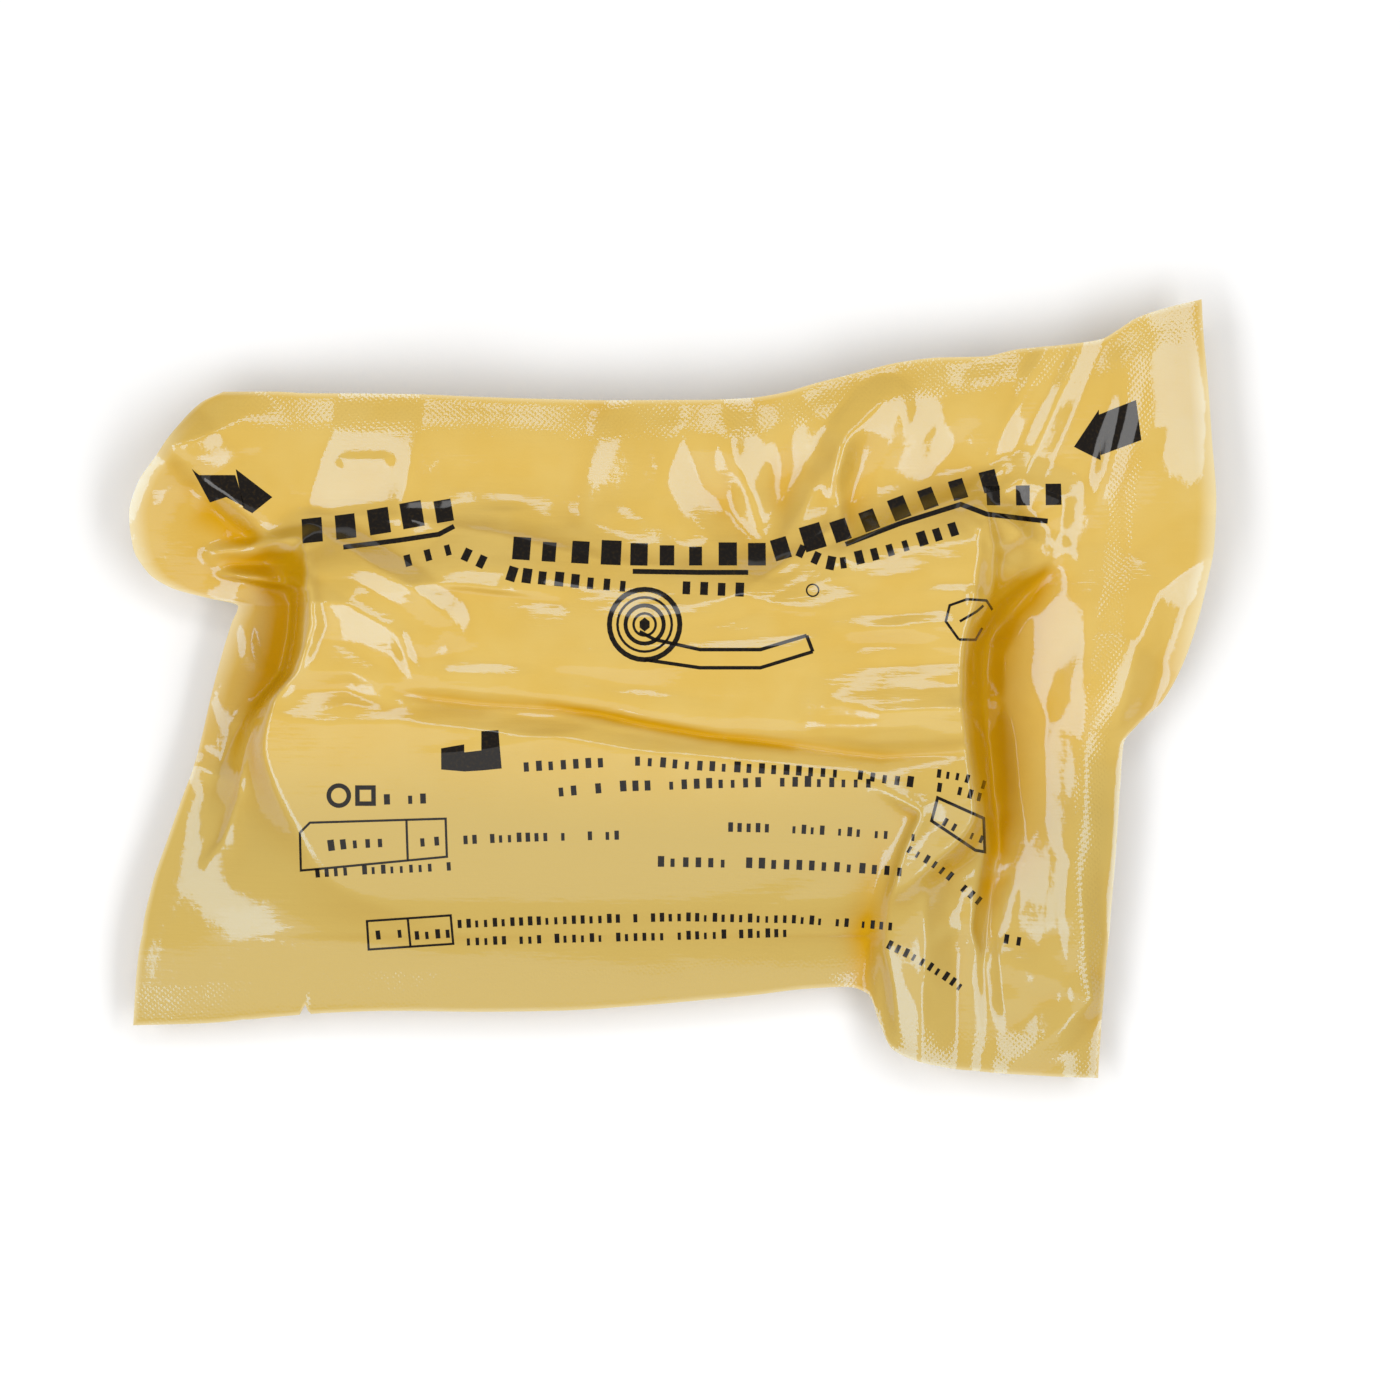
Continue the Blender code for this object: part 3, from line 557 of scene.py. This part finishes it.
def placed(name, mesh, material):
    """Object of a mesh at the origin, with its material."""
    mesh.materials.clear()
    mesh.materials.append(material)
    piece = bpy.data.objects.new(name, mesh)
    bpy.context.collection.objects.link(piece)
    return piece


def add(tree, kind, values=None, **settings):
    """Node with its settings, its input values and its links."""
    node = tree.nodes.new(kind)
    for name, value in settings.items():
        setattr(node, name, value)
    for socket, value in (values or {}).items():
        if isinstance(value, bpy.types.NodeSocket):
            tree.links.new(value, node.inputs[socket])
        else:
            node.inputs[socket].default_value = value
    return node


def new_material(name):
    """Empty material with its output node."""
    material = bpy.data.materials.new(name)
    material.use_nodes = True
    tree = material.node_tree
    tree.nodes.clear()
    return material, tree


def blown_film(name, gold, pale, painted_haze_colour, painted_shade_amber, painted_glow_tone):
    """Blown and laminated polyethylene film, tinted gold: glassy gloss over a milky body, with painted shade in the
    folds, painted haze over the lower half and a painted glow at the rim.
    """
    material, tree = new_material(name)
    plan_uv = add(tree, 'ShaderNodeUVMap', uv_map="plan").outputs[0]
    # point numbers of painted light: shade in the folds, glow at the rim, haze over the lower half; then the crimped
    # seals
    painted_fold_shade = add(tree, 'ShaderNodeAttribute', attribute_name="painted_fold_shade").outputs["Fac"]
    rim = add(tree, 'ShaderNodeAttribute', attribute_name="rim").outputs["Fac"]
    painted_haze_share = add(tree, 'ShaderNodeAttribute', attribute_name="painted_haze_share").outputs["Fac"]
    seal = add(tree, 'ShaderNodeAttribute', attribute_name="seal").outputs["Fac"]
    # cloudy body: patches about 16 mm wide where the film clings to the white wrap inside
    cloud = add(tree, 'ShaderNodeTexNoise', {"Vector": plan_uv, "Scale": 1 / 16, "Detail": 3.0, "Roughness": 0.5})
    cloudy = add(tree, 'ShaderNodeMapRange', {"Value": cloud.outputs["Fac"], 1: 0.4, 2: 0.65, 3: 0.0, 4: 0.6})
    body = add(tree, 'ShaderNodeMix', {0: cloudy.outputs[0], 6: linear(gold), 7: linear(pale)}, data_type='RGBA')
    # painted shade and haze over the lower half
    with_painted_haze = add(tree, 'ShaderNodeMix', {0: painted_haze_share, 6: body.outputs[2], 7: linear(painted_haze_colour)}, data_type='RGBA')
    # painted amber shade in the folds and on steep walls
    with_painted_shade = add(tree, 'ShaderNodeMix', {0: painted_fold_shade, 6: with_painted_haze.outputs[2], 7: linear(painted_shade_amber)}, data_type='RGBA')
    # painted glow at the rim
    glow = add(tree, 'ShaderNodeMix', {0: rim, 6: with_painted_shade.outputs[2], 7: linear(painted_glow_tone)}, data_type='RGBA')
    # drawn grain: streaks 0.5 mm wide and 8 mm long, and the crimp's 0.8 mm grid on the seals
    streaks = add(tree, 'ShaderNodeMapping', {"Vector": plan_uv, "Scale": (1 / 8, 1 / 0.9, 1)})
    grain = add(tree, 'ShaderNodeTexNoise', {"Vector": streaks.outputs[0], "Scale": 1.0, "Detail": 2.0})
    skin = add(tree, 'ShaderNodeTexNoise', {"Vector": plan_uv, "Scale": 1 / 2.2, "Detail": 2.0})
    rough = add(tree, 'ShaderNodeMath', {0: grain.outputs["Fac"], 1: skin.outputs["Fac"]}, operation='ADD')
    turned = add(tree, 'ShaderNodeMapping', {"Vector": plan_uv, "Rotation": (0, 0, math.radians(38))})
    ribs = add(tree, 'ShaderNodeTexWave', {"Vector": turned.outputs[0], "Scale": 0.31 / 0.8},
               wave_type='BANDS', bands_direction='X', wave_profile='SIN')
    cross = add(tree, 'ShaderNodeTexWave', {"Vector": turned.outputs[0], "Scale": 0.31 / 0.8},
                wave_type='BANDS', bands_direction='Y', wave_profile='SIN')
    grid = add(tree, 'ShaderNodeMath', {0: ribs.outputs["Fac"], 1: cross.outputs["Fac"]}, operation='MULTIPLY')
    crimp = add(tree, 'ShaderNodeMath', {0: grid.outputs[0], 1: seal}, operation='MULTIPLY')
    soft = add(tree, 'ShaderNodeBump', {"Height": rough.outputs[0], "Strength": 1.0, "Distance": 0.05 * MM})
    bump = add(tree, 'ShaderNodeBump', {"Height": crimp.outputs[0], "Strength": 1.0, "Distance": 0.04 * MM,
                                        "Normal": soft.outputs[0]})
    # the glare fades where the painted fold shade lies, as a fold mirrors only the film across it
    shine = add(tree, 'ShaderNodeMapRange', {"Value": painted_fold_shade, 1: 0.3, 2: 1.0, 3: SHEEN, 4: SHEEN * 0.3})
    film = add(tree, 'ShaderNodeBsdfPrincipled', {
        "Base Color": glow.outputs[2], "Roughness": GLOSS, "Specular IOR Level": shine.outputs[0],
        "Specular Tint": linear(GLARE), "Normal": bump.outputs[0]})
    add(tree, 'ShaderNodeOutputMaterial', {0: film.outputs[0]})
    return material


def printing_ink():
    """Flexo ink printed on the back of the gloss layer: brown-black, as shiny as the film over it."""
    material, tree = new_material("flexo_printed_black_ink")
    plan_uv = add(tree, 'ShaderNodeUVMap', uv_map="plan").outputs[0]
    # thin patches 0.6 mm wide where the ink laid down unevenly
    patch = add(tree, 'ShaderNodeTexNoise', {"Vector": plan_uv, "Scale": 1 / 0.6, "Detail": 2.0})
    thin = add(tree, 'ShaderNodeMapRange', {"Value": patch.outputs["Fac"], 1: 0.5, 2: 0.8, 3: 0.0, 4: 0.5})
    tint = add(tree, 'ShaderNodeMix', {0: thin.outputs[0], 6: linear("#100A05"), 7: linear("#40300F")},
               data_type='RGBA')
    ink = add(tree, 'ShaderNodeBsdfPrincipled', {
        "Base Color": tint.outputs[2], "Roughness": GLOSS, "Specular IOR Level": SHEEN * 0.6})
    add(tree, 'ShaderNodeOutputMaterial', {0: ink.outputs[0]})
    return material


def elastic_weave():
    """Plain-woven cotton with elastic warp: off-white, matt, ribbed every 1.2 mm."""
    material, tree = new_material("woven_cotton_elastic")
    place = add(tree, 'ShaderNodeTexCoord').outputs["Object"]
    warp = add(tree, 'ShaderNodeTexWave', {"Vector": place, "Scale": 0.31 / (1.2 * MM), "Distortion": 0.4},
               wave_type='BANDS', bands_direction='X')
    weft = add(tree, 'ShaderNodeTexWave', {"Vector": place, "Scale": 0.31 / (0.9 * MM), "Distortion": 0.4},
               wave_type='BANDS', bands_direction='Z')
    cloth = add(tree, 'ShaderNodeMath', {0: warp.outputs["Fac"], 1: weft.outputs["Fac"]}, operation='ADD')
    tint = add(tree, 'ShaderNodeMix', {0: warp.outputs["Fac"], 6: linear("#C9BDA2"), 7: linear("#E6DDC8")},
               data_type='RGBA')
    bump = add(tree, 'ShaderNodeBump', {"Height": cloth.outputs[0], "Strength": 1.0, "Distance": 0.2 * MM})
    fabric = add(tree, 'ShaderNodeBsdfPrincipled', {
        "Base Color": tint.outputs[2], "Roughness": 0.9, "Normal": bump.outputs[0], "Sheen Weight": 0.3})
    add(tree, 'ShaderNodeOutputMaterial', {0: fabric.outputs[0]})
    return material


def block_tree(material):
    """Geometry node tree that sets plain blocks along lines: inputs Pitch, Width, Height, Share and Seed."""
    tree = bpy.data.node_groups.new("printed_blocks", 'GeometryNodeTree')
    face = tree.interface
    face.new_socket("Geometry", in_out='INPUT', socket_type='NodeSocketGeometry')
    for label in ("Pitch", "Width", "Height", "Share"):
        face.new_socket(label, in_out='INPUT', socket_type='NodeSocketFloat')
    face.new_socket("Seed", in_out='INPUT', socket_type='NodeSocketInt')
    face.new_socket("Geometry", in_out='OUTPUT', socket_type='NodeSocketGeometry')
    given = add(tree, 'NodeGroupInput').outputs
    curve = add(tree, 'GeometryNodeMeshToCurve', {"Mesh": given["Geometry"]})
    places = add(tree, 'GeometryNodeResampleCurve', {"Curve": curve.outputs[0], "Length": given["Pitch"]},
                 mode='LENGTH')
    tangent = add(tree, 'GeometryNodeInputTangent')
    turn = add(tree, 'FunctionNodeAlignRotationToVector', {"Vector": tangent.outputs[0]}, axis='X')
    kept = add(tree, 'FunctionNodeRandomValue', {"Probability": given["Share"], "Seed": given["Seed"]},
               data_type='BOOLEAN')
    slim = add(tree, 'FunctionNodeRandomValue', {2: 0.55, 3: 1.0, "Seed": given["Seed"]}, data_type='FLOAT')
    low = add(tree, 'FunctionNodeRandomValue', {2: 0.7, 3: 1.0, "Seed": given["Seed"]}, data_type='FLOAT')
    wide = add(tree, 'ShaderNodeMath', {0: slim.outputs[1], 1: given["Width"]}, operation='MULTIPLY')
    tall = add(tree, 'ShaderNodeMath', {0: low.outputs[1], 1: given["Height"]}, operation='MULTIPLY')
    size = add(tree, 'ShaderNodeCombineXYZ', {"X": wide.outputs[0], "Y": tall.outputs[0], "Z": 1.0})
    block = add(tree, 'GeometryNodeMeshGrid', {"Vertices X": 2, "Vertices Y": 2})
    on_line = add(tree, 'GeometryNodeTransform', {"Geometry": block.outputs[0], "Translation": (0.5, 0.5, 0)})
    blocks = add(tree, 'GeometryNodeInstanceOnPoints', {
        "Points": places.outputs[0], "Selection": kept.outputs[3], "Instance": on_line.outputs[0],
        "Rotation": turn.outputs[0], "Scale": size.outputs[0]})
    real = add(tree, 'GeometryNodeRealizeInstances', {"Geometry": blocks.outputs[0]})
    inked = add(tree, 'GeometryNodeSetMaterial', {"Geometry": real.outputs[0], "Material": material})
    add(tree, 'NodeGroupOutput', {0: inked.outputs[0]})
    return tree


def block_rows(tree, kind, lines, seed):
    """Outlines of the blocks along the lines of one kind, in mm."""
    mesh = bpy.data.meshes.new("rows")
    points = [(*point, 0) for line in lines for point in line]
    starts = np.cumsum([0] + [len(line) for line in lines])
    edges = [(i, i + 1) for i in range(len(points) - 1) if i + 1 not in starts]
    mesh.from_pydata(points, edges, [])
    carrier = bpy.data.objects.new("rows", mesh)
    bpy.context.collection.objects.link(carrier)
    maker = carrier.modifiers.new("blocks", 'NODES')
    maker.node_group = tree
    sockets = {item.name: item.identifier for item in tree.interface.items_tree if item.in_out == 'INPUT'}
    for label, value in zip(("Pitch", "Width", "Height", "Share"), kind):
        maker[sockets[label]] = value
    maker[sockets["Seed"]] = seed
    carrier.update_tag()
    graph = bpy.context.evaluated_depsgraph_get()
    made = bpy.data.meshes.new_from_object(carrier.evaluated_get(graph))
    shapes = [[tuple(made.vertices[k].co[:2]) for k in face.vertices] for face in made.polygons]
    bpy.data.objects.remove(carrier)
    bpy.data.meshes.remove(made)
    return shapes


def band(line, width):
    """Four-sided pieces of a stroke, mitred at its corners; it closes where its ends meet."""
    line = np.array(line, float)
    step = np.diff(line, axis=0)
    step /= np.linalg.norm(step, axis=1)[:, None]
    side = np.stack((-step[:, 1], step[:, 0]), axis=1)
    closed = np.allclose(line[0], line[-1])
    before = np.vstack((side[-1:] if closed else side[:1], side))
    after = np.vstack((side, side[:1] if closed else side[-1:]))
    mitre = (before + after) / (1 + (before * after).sum(axis=1))[:, None] * width / 2
    left, right = line + mitre, line - mitre
    return [[tuple(p) for p in (right[i], right[i + 1], left[i + 1], left[i])] for i in range(len(step))]


def ring(middle, radius, width):
    """Pieces of a round stroke."""
    turns = np.linspace(0, 2 * math.pi, 33)
    line = np.stack((middle[0] + radius * np.cos(turns), middle[1] + radius * np.sin(turns)), axis=1)
    line[-1] = line[0]
    return band(line, width)


def clipped(shape, triangle):
    """The part of a convex shape that lies in a triangle."""
    for p, q in zip(triangle, triangle[1:] + triangle[:1]):
        beyond = [(q[0] - p[0]) * (v[1] - p[1]) - (q[1] - p[1]) * (v[0] - p[0]) for v in shape]
        kept = []
        for i, v in enumerate(shape):
            j = (i + 1) % len(shape)
            if beyond[i] >= 0:
                kept.append(v)
            if (beyond[i] >= 0) != (beyond[j] >= 0):
                t = beyond[i] / (beyond[i] - beyond[j])
                kept.append((v[0] + (shape[j][0] - v[0]) * t, v[1] + (shape[j][1] - v[1]) * t))
        shape = kept
        if len(shape) < 3:
            return []
    return shape


def area(shape):
    """Signed area of a shape, positive when it runs to the left."""
    return sum(p[0] * q[1] - p[1] * q[0] for p, q in zip(shape, shape[1:] + shape[:1])) / 2


def printed_on(shapes, material):
    """Ink of the given shapes, laid on the upper web's own triangles."""
    normals = np.empty(FILM_X.size * 3, np.float32)
    web.data.vertices.foreach_get("normal", normals)
    normals = normals.reshape(-1, 3)
    film = np.stack((FILM_X, FILM_Y, FILM_Z), axis=-1).reshape(-1, 3)
    flat = film[:, :2] / MM
    columns = FILM_X.shape[1]
    start = (np.arange(FILM_X.shape[0] - 1)[:, None] * columns + np.arange(columns - 1)).ravel()
    corners = np.stack((start, start + 1, start + columns + 1, start + columns), axis=-1)
    least, most = flat[corners].min(axis=1), flat[corners].max(axis=1)
    known, places, turned, faces = {}, [], [], []
    for shape in shapes:
        shape = shape if area(shape) > 0 else shape[::-1]
        low, high = np.min(shape, axis=0), np.max(shape, axis=0)
        for cell in np.flatnonzero(((least <= high) & (most >= low)).all(axis=1)):
            a, b, c, d = corners[cell]
            for triangle in ((a, b, c), (a, c, d)):
                part = clipped(shape, [tuple(flat[k]) for k in triangle])
                if not part or abs(area(part)) < 1e-4:
                    continue
                p, q, r = flat[list(triangle)]
                share = np.linalg.solve(np.array([q - p, r - p]).T, (np.array(part) - p).T).T
                weights = np.column_stack((1 - share.sum(axis=1), share))
                normal = weights @ normals[list(triangle)]
                spot = weights @ film[list(triangle)] + normal * INK_LIFT
                face = []
                for point, lean, key in zip(spot, normal, np.round(part, 3)):
                    key = tuple(key)
                    if key not in known:
                        known[key] = len(places)
                        places.append(point.tolist())
                        turned.append(lean.tolist())
                    if known[key] not in face:
                        face.append(known[key])
                if len(face) > 2:
                    faces.append(face)
    mesh = bpy.data.meshes.new("dark_print")
    mesh.from_pydata(places, [], faces)
    mesh.polygons.foreach_set("use_smooth", np.ones(len(faces), bool))
    layer = mesh.uv_layers.new(name="plan")
    loops = np.array([k for face in faces for k in face])
    layer.data.foreach_set("uv", (np.array(places)[loops, :2] / MM).ravel())
    mesh.update()
    mesh.normals_split_custom_set_from_vertices(turned)
    return placed("dark_print", mesh, material)


def dark_print():
    """All the print of the upper web: arrows, lines, boxes, a wound roll and rows of plain blocks."""
    material = printing_ink()
    shapes = [on_pouch(patch) for patch in INK_PATCHES]
    shapes += [piece for width, line in INK_STROKES for piece in band(on_pouch(line), width)]
    shapes += [piece for middle, radius, width in INK_RINGS for piece in ring(on_pouch([middle])[0], radius, width)]
    tree = block_tree(material)
    for seed, kind in enumerate((TITLE, SECOND, CAPS, SMALL)):
        shapes += block_rows(tree, kind, [on_pouch(line) for row, line in INK_ROWS if row == kind], seed)
    bpy.data.node_groups.remove(tree)
    return printed_on(shapes, material)


FILM_A, FILM_B = np.meshgrid(stations(ACROSS_CELLS), stations(ALONG_CELLS))
FILM_X, FILM_Y = notched(*plan(FILM_A, FILM_B), FILM_B)
FILM_Z = front_height(FILM_A, FILM_B)


def seal_share():
    """1 on the crimped seals at the head, the foot and the right, 0 elsewhere."""
    x, y = FILM_X / MM, FILM_Y / MM
    head = (y[-1:, :] - y) < HEAD_SEAL
    foot = (y - y[:1, :]) < FOOT_SEAL
    side = beside(x, y, on_pouch(SIDE_SEAL))[0] < SIDE_SEAL_HALF
    return np.maximum.reduce([head * 0.5, foot * 0.4, side * 1.0])


def painted_glow_share():
    """Painted glow: 1 at the thin rim at the left and right ends of the pouch, 0 from the glow width inward, and weaker
    along the cut edge.
    """
    inward = np.minimum(FILM_X - FILM_X[:, :1], FILM_X[:, -1:] - FILM_X) / MM
    lit = np.clip(1 - inward / PAINTED_GLOW_WIDTH, 0, 1) * ramp(FILM_B, 1.4, 1.8) * ramp(FILM_B, 2.9, 2.5) * 0.8
    return np.maximum(lit, cut_share() * 0.6)


def cut_share():
    """1 along the cut edge all round the pouch, 0 from CUT_WIDTH inward."""
    inward = np.minimum.reduce([FILM_X - FILM_X[:, :1], FILM_X[:, -1:] - FILM_X,
                                FILM_Y - FILM_Y[:1, :], FILM_Y[-1:, :] - FILM_Y]) / MM
    return np.clip(1 - inward / CUT_WIDTH, 0, 1)


def upper_web():
    """Printed web of film, drawn tight over the roll."""
    # painted amber shade: broad sinks below the evened surface, narrow creases, the listed places and steep walls
    painted_fold_shade = np.clip((blurred(FILM_Z, 400) - FILM_Z - 1 * MM) / (3.5 * MM), 0, 1)
    near = np.clip((blurred(FILM_Z, 10) - FILM_Z) / (0.6 * MM), 0, 1)
    painted_pool_shade = sum(fold(FILM_X / MM, FILM_Y / MM, *row[:3], 2.0, on_pouch(row[3])) for row in PAINTED_SHADE_POOLS)
    rows, columns = np.gradient(FILM_Z)
    lean = np.hypot(columns / np.gradient(FILM_X, axis=1), rows / np.gradient(FILM_Y, axis=0))
    steep = np.clip((lean - 0.6) / 1.2, 0, 1)
    painted_shade_sum = np.clip(painted_fold_shade * 0.7 + near * 0.5 + painted_pool_shade + steep * 0.6, 0, 1)
    # on the points: painted shade, the crimped seals, painted glow at the rim and painted haze over the lower half
    mesh = sheet_mesh("upper_web", FILM_X, FILM_Y, FILM_Z,
                      {"painted_fold_shade": painted_shade_sum, "seal": seal_share(), "rim": painted_glow_share(), "painted_haze_share": ramp(FILM_B, 1.55, 1.25)})
    material = blown_film("laminated_gold_film", GOLD, PALE, PAINTED_HAZE_TONE, PAINTED_SHADE_AMBER, PAINTED_GLOW_CREAM)
    piece = placed("upper_web", mesh, material)
    return piece


def lower_web():
    """Plain web under the roll, flat on the table and close under the upper one at the flanges."""
    step = slice(None, None, 2)
    bed = (ramp(FILM_A, *LEFT_BED) * ramp(FILM_A, *RIGHT_BED) * ramp(FILM_B, *FOOT_BED)
           * ramp(FILM_B, *HEAD_BED))
    under = np.maximum(lowest_near(FILM_Z, 2) - WEB_GAP, FILM_WALL)
    z = FILM_WALL + (under - FILM_WALL) * (1 - bed)
    a = np.arange(FILM_A.shape[1])[step]
    b = np.arange(FILM_A.shape[0])[step]
    pick = np.ix_(b, a)
    zero = np.zeros(FILM_A[pick].shape)
    # the lower web has no painted shade or haze, only a painted glow along its cut edge
    mesh = sheet_mesh("lower_web", FILM_X[pick], FILM_Y[pick], z[pick], {"painted_fold_shade": zero, "seal": zero, "rim": np.minimum(cut_share()[pick] * 3, 1), "painted_haze_share": zero})
    piece = placed("lower_web", mesh, blown_film("plain_gold_film", GOLD, PALE, PAINTED_HAZE_TONE, PAINTED_SHADE_AMBER, PAINTED_GLOW_CREAM))
    solid = piece.modifiers.new("wall", 'SOLIDIFY')
    solid.thickness = FILM_WALL
    solid.offset = -1
    return piece


def wound_roll():
    """Elastic bandage wound flat: the film lies close over it, and its turns show as ridges round the sides."""
    inner = (FILM_A[0] > 1.03) & (FILM_A[0] < 1.97)
    outer = (FILM_B[:, 0] > 1.06) & (FILM_B[:, 0] < 1.94)
    pick = np.ix_(outer, inner)
    top = lowest_near(FILM_Z, 3)[pick] - 1.2 * MM
    x, y = FILM_X[pick][::2, ::2], FILM_Y[pick][::2, ::2]
    top = top[::2, ::2]
    rows, columns = x.shape
    points = np.stack((x, y, top), axis=-1).reshape(-1, 3)
    corner = (np.arange(rows - 1)[:, None] * columns + np.arange(columns - 1)).ravel()
    faces = np.stack((corner, corner + 1, corner + columns + 1, corner + columns), axis=-1).tolist()
    number = np.arange(rows * columns).reshape(rows, columns)
    rim = np.concatenate((number[0, :], number[1:, -1], number[-1, -2::-1], number[-2:0:-1, 0]))
    middle = points[:, :2].mean(axis=0)
    places = points.tolist()
    ring = rim.tolist()
    turns = 14
    floor = 1.0 * MM
    for turn in range(1, turns + 1):
        share = turn / turns
        inset = (0.5 if turn % 2 else 0.0) * MM + 0.8 * MM * share
        below = []
        for k in rim:
            px, py, pz = points[k]
            away = np.array((px, py)) - middle
            away = away / np.linalg.norm(away)
            below.append(len(places))
            places.append([px - away[0] * inset, py - away[1] * inset, pz + (floor - pz) * share])
        for i in range(len(ring)):
            j = (i + 1) % len(ring)
            faces.append([ring[j], ring[i], below[i], below[j]])
        ring = below
    faces.append(ring[::-1])
    mesh = bpy.data.meshes.new("wound_bandage")
    mesh.from_pydata(places, [], faces)
    mesh.polygons.foreach_set("use_smooth", np.ones(len(faces), bool))
    return placed("wound_bandage", mesh, elastic_weave())


web = upper_web()
back = lower_web()
roll = wound_roll()
ink = dark_print()

for piece, node, slot in ((web, "front_film", "gold_film_printed"), (back, "back_film", "gold_film_plain"),
                          (roll, "bandage_roll", "elastic_bandage")):
    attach(piece, "root")
    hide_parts(node)
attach(ink, "root")


def studio():
    """White table, bright room, three soft boxes round a camera that looks straight down."""
    scene = bpy.context.scene
    scene.view_settings.view_transform = 'Standard'
    floor = bpy.data.meshes.new("table")
    half = 3.0
    floor.from_pydata([(-half, -half, 0), (half, -half, 0), (half, half, 0), (-half, half, 0)], [], [(0, 1, 2, 3)])
    material, tree = new_material("white_laminate_table")
    paper = add(tree, 'ShaderNodeBsdfPrincipled', {"Base Color": (0.9, 0.9, 0.9, 1), "Roughness": 0.8})
    add(tree, 'ShaderNodeOutputMaterial', {0: paper.outputs[0]})
    placed("table", floor, material)
    world = bpy.data.worlds.new("room")
    world.use_nodes = True
    world.node_tree.nodes["Background"].inputs["Color"].default_value = (1, 1, 1, 1)
    world.node_tree.nodes["Background"].inputs["Strength"].default_value = 0.26
    scene.world = world
    # soft boxes: name, tilt from overhead, direction round the table, distance, width, height, radiance
    for name, tilt, turn, distance, width, height, radiance in (
            ("head_box", 32, 90, 1.3, 0.6, 0.3, 3.2), ("right_box", 35, -5, 1.3, 1.6, 0.5, 3.7),
            ("left_box", 35, 196, 1.3, 1.6, 0.5, 3.7), ("foot_box", 34, 270, 1.3, 1.5, 0.9, 0.7)):
        tilt, turn = math.radians(tilt), math.radians(turn)
        away = Vector((math.sin(tilt) * math.cos(turn), math.sin(tilt) * math.sin(turn), math.cos(tilt)))
        light = bpy.data.lights.new(name, 'AREA')
        light.shape = 'RECTANGLE'
        light.size = width
        light.size_y = height
        light.energy = radiance * math.pi * width * height
        box = bpy.data.objects.new(name, light)
        box.location = away * distance
        box.rotation_euler = away.to_track_quat('Z', 'Y').to_euler()
        bpy.context.collection.objects.link(box)
    camera = bpy.data.objects.new("camera", bpy.data.cameras.new("camera"))
    distance = 1.6
    frame_width = 0.28
    camera.data.sensor_width = 36
    camera.data.lens = 36 * (distance - 0.015) / frame_width
    camera.data.clip_start = 0.05
    camera.location = (5.5 * MM, -2.2 * MM, distance)
    bpy.context.collection.objects.link(camera)
    scene.camera = camera


studio()
